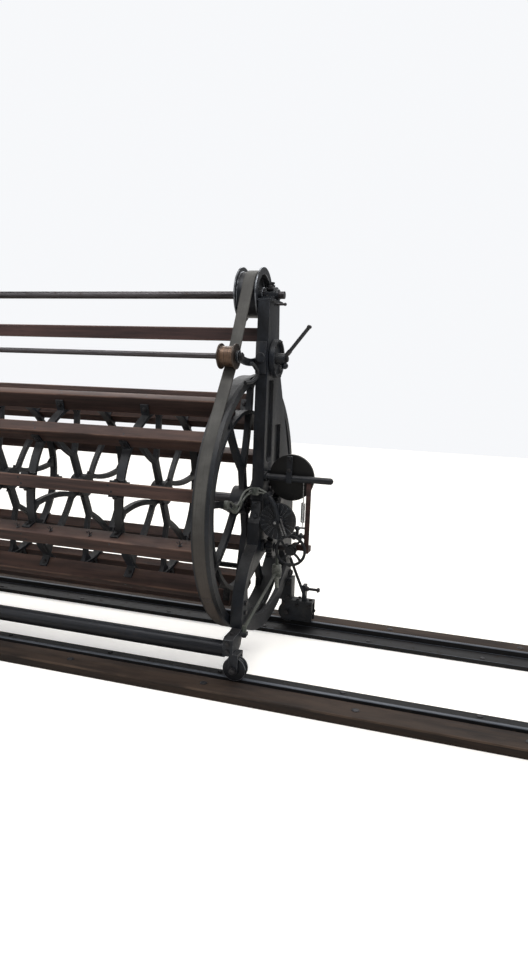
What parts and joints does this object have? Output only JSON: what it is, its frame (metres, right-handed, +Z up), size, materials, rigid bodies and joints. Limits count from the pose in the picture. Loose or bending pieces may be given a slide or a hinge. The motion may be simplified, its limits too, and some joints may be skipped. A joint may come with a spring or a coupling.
{
  "type": "warping reel",
  "caption": "Old textile mill warping reel: a slatted timber drum on cast-iron spiders, turned by a belt-driven band wheel, in a wheeled iron carriage that runs along two floor rails",
  "frame": {"origin": "on the floor, midway between the two rails and at their mid length", "axes": "+X along the reel and the rails towards the belt end, +Y across to the rear rail, +Z up"},
  "size_m": [5.8, 1.396, 2.131],
  "materials": {
    "frame_iron": "old dark blue-black paint, dusty and oily",
    "disc_iron": "near-black, smooth face",
    "slat_timber": "worn brown timber with pale rubbed edges",
    "sill_timber": "dark stained plank, scuffed",
    "dark_timber": "dark red-brown painted timber",
    "rail_steel": "dark rolled steel, bright on the worn ridge",
    "tube_steel": "grey steel tube, dulled",
    "shaft_steel": "turned steel, oily brown film",
    "bolt_steel": "dark greasy steel",
    "grey_green_iron": "dull grey-green, rubbed",
    "belt_canvas": "grey-tan woven belting, dirty edges",
    "spool_brass": "brown turned spool, satin sheen"
  },
  "bodies": {
    "track": {"sill_front": "sill_timber", "sill_rear": "sill_timber", "rail_front": "rail_steel", "rail_rear": "rail_steel", "rail_screws": "bolt_steel"},
    "reel": {"reel_shaft": "shaft_steel", "slat_01": "slat_timber", "slat_02": "slat_timber", "slat_03": "slat_timber", "slat_04": "slat_timber", "slat_05": "slat_timber", "slat_06": "slat_timber", "slat_07": "slat_timber", "slat_08": "slat_timber", "slat_09": "slat_timber", "slat_10": "slat_timber", "slat_11": "slat_timber", "slat_12": "slat_timber", "spider_1": "frame_iron", "spider_2": "frame_iron", "spider_3": "frame_iron", "spider_4": "frame_iron", "band_wheel": "frame_iron", "reel_gear": "frame_iron"},
    "top_drive": {"top_shaft": "shaft_steel", "top_pulley": "frame_iron"},
    "tightener": {"tight_arm_right": "frame_iron", "tight_arm_left": "frame_iron", "thin_shaft": "shaft_steel", "set_lever": "frame_iron"},
    "tightener_spool": {"spool": "spool_brass"},
    "front_right_wheel": {"wheel_front_right": "frame_iron"},
    "front_left_wheel": {"wheel_front_left": "frame_iron"},
    "rear_right_wheel": {"wheel_rear_right": "frame_iron"},
    "rear_left_wheel": {"wheel_rear_left": "frame_iron"},
    "disc": {"friction_disc": "disc_iron"},
    "idler": {"idler_gear": "frame_iron"},
    "hand": {"hand_shaft": "shaft_steel", "hand_gear": "frame_iron"},
    "hand_turner": {"hand_wheel": "frame_iron"},
    "carriage": {"frame_right": "frame_iron", "frame_left": "frame_iron", "foot_right": "frame_iron", "foot_left": "frame_iron", "truck_right": "frame_iron", "truck_left": "frame_iron", "truck_axles": "bolt_steel", "low_tube": "tube_steel", "rear_tie_rod": "tube_steel", "tie_beam": "dark_timber", "drive_belt": "belt_canvas", "bearing_right": "frame_iron", "bearing_left": "frame_iron", "frame_bolts": "bolt_steel", "hub_stay": "grey_green_iron", "disc_bracket": "frame_iron", "cross_bar": "frame_iron", "hanger_post": "dark_timber", "stay_rod": "grey_green_iron", "gear_guard": "frame_iron"}
  },
  "joints": [
    {"name": "carriage_travel", "type": "slide", "parent": "track", "child": "carriage", "axis": [1, 0, 0], "range_m": [-1.3, 1.3]},
    {"name": "front_right_wheel_spin", "type": "hinge", "parent": "carriage", "child": "front_right_wheel", "pos_m": [1.27, -0.48, 0.1103], "axis": [0, 1, 0], "continuous": true},
    {"name": "front_left_wheel_spin", "type": "hinge", "parent": "carriage", "child": "front_left_wheel", "pos_m": [-1.27, -0.48, 0.1103], "axis": [0, 1, 0], "continuous": true},
    {"name": "rear_right_wheel_spin", "type": "hinge", "parent": "carriage", "child": "rear_right_wheel", "pos_m": [1.27, 0.48, 0.1103], "axis": [0, 1, 0], "continuous": true},
    {"name": "rear_left_wheel_spin", "type": "hinge", "parent": "carriage", "child": "rear_left_wheel", "pos_m": [-1.27, 0.48, 0.1103], "axis": [0, 1, 0], "continuous": true},
    {"name": "reel_spin", "type": "hinge", "parent": "carriage", "child": "reel", "pos_m": [0, 0, 0.875], "axis": [1, 0, 0], "continuous": true},
    {"name": "top_drive_spin", "type": "hinge", "parent": "carriage", "child": "top_drive", "pos_m": [0, 0, 1.986], "axis": [1, 0, 0], "continuous": true},
    {"name": "tightener_swing", "type": "hinge", "parent": "carriage", "child": "tightener", "pos_m": [0, -0.02, 1.655], "axis": [1, 0, 0], "range_deg": [-14, 0]},
    {"name": "spool_spin", "type": "hinge", "parent": "tightener", "child": "tightener_spool", "pos_m": [1.142, -0.36873, 1.64958], "axis": [1, 0, 0], "continuous": true},
    {"name": "disc_spin", "type": "hinge", "parent": "carriage", "child": "disc", "pos_m": [1.404, -0.0595, 1.032], "axis": [0, 1, 0], "continuous": true},
    {"name": "idler_spin", "type": "hinge", "parent": "carriage", "child": "idler", "pos_m": [1.313, -0.039, 0.7625], "axis": [1, 0, 0], "continuous": true},
    {"name": "hand_spin", "type": "hinge", "parent": "carriage", "child": "hand", "pos_m": [1.313, -0.078, 0.65], "axis": [1, 0, 0], "continuous": true},
    {"name": "hand_turner_spin", "type": "hinge", "parent": "carriage", "child": "hand_turner", "pos_m": [1.432, -0.078, 0.65], "axis": [0, 1, 0], "continuous": true}
  ],
  "couplings": [
    {"joint": "front_right_wheel_spin", "follows": "carriage_travel", "rad_per_m": 20},
    {"joint": "front_left_wheel_spin", "follows": "carriage_travel", "rad_per_m": 20},
    {"joint": "rear_right_wheel_spin", "follows": "carriage_travel", "rad_per_m": 20},
    {"joint": "rear_left_wheel_spin", "follows": "carriage_travel", "rad_per_m": 20},
    {"joint": "top_drive_spin", "follows": "reel_spin", "ratio": 5.7215},
    {"joint": "spool_spin", "follows": "reel_spin", "ratio": -13.684},
    {"joint": "idler_spin", "follows": "reel_spin", "ratio": -1},
    {"joint": "hand_spin", "follows": "reel_spin", "ratio": 1},
    {"joint": "hand_turner_spin", "follows": "reel_spin", "ratio": -1}
  ]
}
